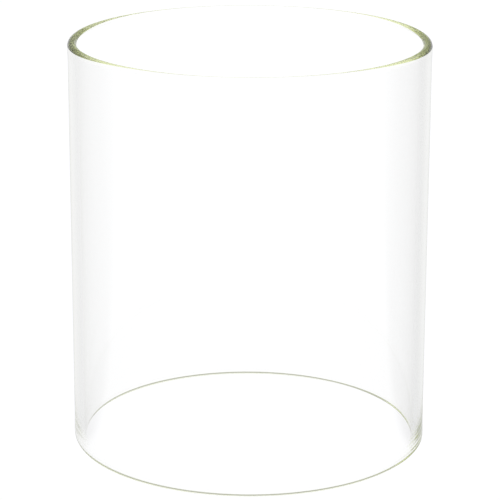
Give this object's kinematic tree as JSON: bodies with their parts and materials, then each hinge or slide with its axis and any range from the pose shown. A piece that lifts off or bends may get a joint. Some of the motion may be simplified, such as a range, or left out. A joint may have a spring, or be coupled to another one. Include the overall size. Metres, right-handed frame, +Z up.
{
  "type": "open-ended glass cylinder",
  "caption": "Plain clear glass cylinder open at both ends, with a straight thin wall and fire-polished round rims.",
  "frame": {"origin": "centre of the bottom rim, in the plane that it stands on", "axes": "+Z up along the cylinder's axis; X and Y are any two directions across it, because it is round"},
  "size_m": [0.1, 0.1, 0.115],
  "materials": {
    "glass": "clear, smooth and glossy, with a yellow-green tint that shows only where the wall is seen end on"
  },
  "bodies": {
    "root": {"glass_cylinder": "glass"}
  },
  "joints": []
}
